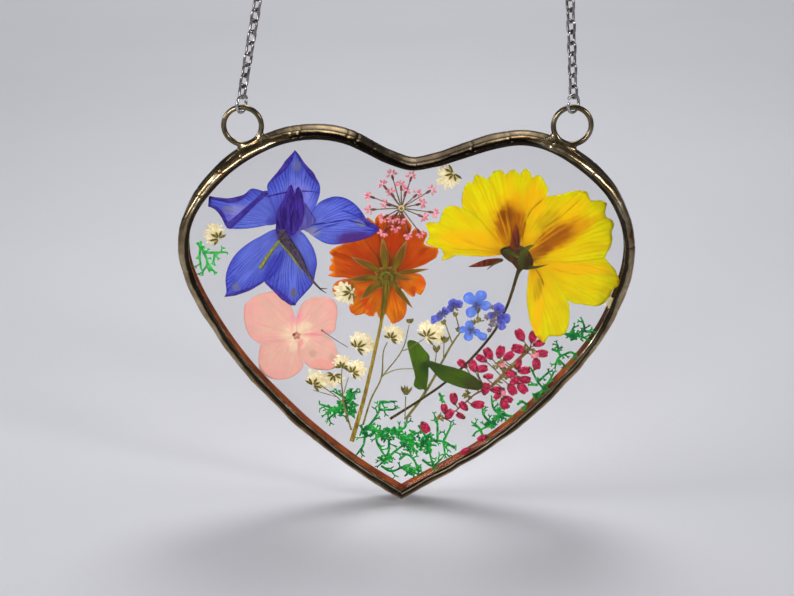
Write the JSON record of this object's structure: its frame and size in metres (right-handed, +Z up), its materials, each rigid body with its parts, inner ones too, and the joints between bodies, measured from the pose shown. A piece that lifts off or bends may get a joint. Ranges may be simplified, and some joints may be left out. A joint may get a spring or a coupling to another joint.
{
  "type": "pressed flower suncatcher",
  "caption": "Heart-shaped glass panel with pressed flowers sealed inside, a soldered metal edge and two rings, hanging on two chains.",
  "frame": {"origin": "where it hangs: midway between the two rings at the tops of the chains, at the height where a hook bears on them", "axes": "+Z up along the hanging direction, -Y out of the front of the panel, +X to the right when facing the front"},
  "size_m": [0.118, 0.0074, 0.1517],
  "materials": {
    "glass": "clear, polished, faintly cool",
    "copper_foil": "bright copper tape, seen through the glass",
    "solder": "hand-run solder with a bronze-black patina, glossy and slightly lumpy",
    "gunmetal_wire": "grey plated wire, satin",
    "violet_petal": "dried, translucent, finely veined, darker at the edge",
    "dark_violet_petal": "dried, wrinkled",
    "olive_stem": "dried stalk, ribbed lengthwise",
    "dark_stem": "dried dark stalk and bracts",
    "orange_petal": "dried, translucent, radial veins, paler towards the tips",
    "yellow_petal": "dried, translucent, brown-orange streaks towards the middle",
    "pink_petal": "dried, pale salmon with pink veins and a cream middle",
    "rose_floret": "tiny dyed florets on thin dark stalks",
    "blue_floret": "dried, sky blue to lilac",
    "cream_floret": "dried, papery, cream with green-brown middle",
    "leaf": "dried leaf with a midrib",
    "crimson_bud": "dried, deep pink-red, darker at the base",
    "moss": "dyed lichen-like moss, matt"
  },
  "bodies": {
    "hanger": {"chain_left": "gunmetal_wire", "chain_right": "gunmetal_wire", "jump_ring_left": "gunmetal_wire", "jump_ring_right": "gunmetal_wire", "top_ring_left": "gunmetal_wire", "top_ring_right": "gunmetal_wire"},
    "panel": {"babys_breath_flower_centre": "cream_floret", "babys_breath_flower_low": "cream_floret", "babys_breath_flower_middle": "cream_floret", "babys_breath_flower_on_orange": "cream_floret", "babys_breath_flower_right": "cream_floret", "babys_breath_flower_top": "cream_floret", "babys_breath_flower_top_left": "cream_floret", "babys_breath_stem_left": "olive_stem", "babys_breath_stem_right": "olive_stem", "bud_sprig": "crimson_bud", "copper_foil": "copper_foil", "forget_me_not_flower_left": "blue_floret", "forget_me_not_flower_right": "blue_floret", "forget_me_not_flowers_blue": "blue_floret", "forget_me_not_stem": "olive_stem", "glass_back": "glass", "glass_front": "glass", "hanging_ring_left": "solder", "hanging_ring_right": "solder", "hydrangea_sepal_lower_left": "pink_petal", "hydrangea_sepal_lower_right": "pink_petal", "hydrangea_sepal_upper_left": "pink_petal", "hydrangea_sepal_upper_right": "pink_petal", "larkspur_pedicel": "olive_stem", "larkspur_petals": "dark_violet_petal", "larkspur_sepal_left": "violet_petal", "larkspur_sepal_lower_left": "violet_petal", "larkspur_sepal_lower_right": "violet_petal", "larkspur_sepal_right": "violet_petal", "larkspur_sepal_top": "violet_petal", "larkspur_spur": "dark_violet_petal", "leaf_across": "leaf", "leaf_upright": "leaf", "moss_bottom": "moss", "moss_low_left": "moss", "moss_low_right": "moss", "moss_top_right": "moss", "orange_calyx": "olive_stem", "orange_petal_bottom": "orange_petal", "orange_petal_left": "orange_petal", "orange_petal_lower_left": "orange_petal", "orange_petal_lower_right": "orange_petal", "orange_petal_top": "orange_petal", "orange_petal_top_right": "orange_petal", "orange_stem": "olive_stem", "solder_bead": "solder", "umbel": "rose_floret", "yellow_calyx": "dark_stem", "yellow_petal_left": "yellow_petal", "yellow_petal_lower": "yellow_petal", "yellow_petal_right": "yellow_petal", "yellow_petal_upper_left": "yellow_petal", "yellow_petal_upper_right": "yellow_petal", "yellow_stem": "dark_stem"}
  },
  "joints": [
    {"name": "panel_swing", "type": "hinge", "parent": "hanger", "child": "panel", "pos_m": [0, 0, -0.04185], "axis": [1, 0, 0], "range_deg": [-80, 80]}
  ]
}
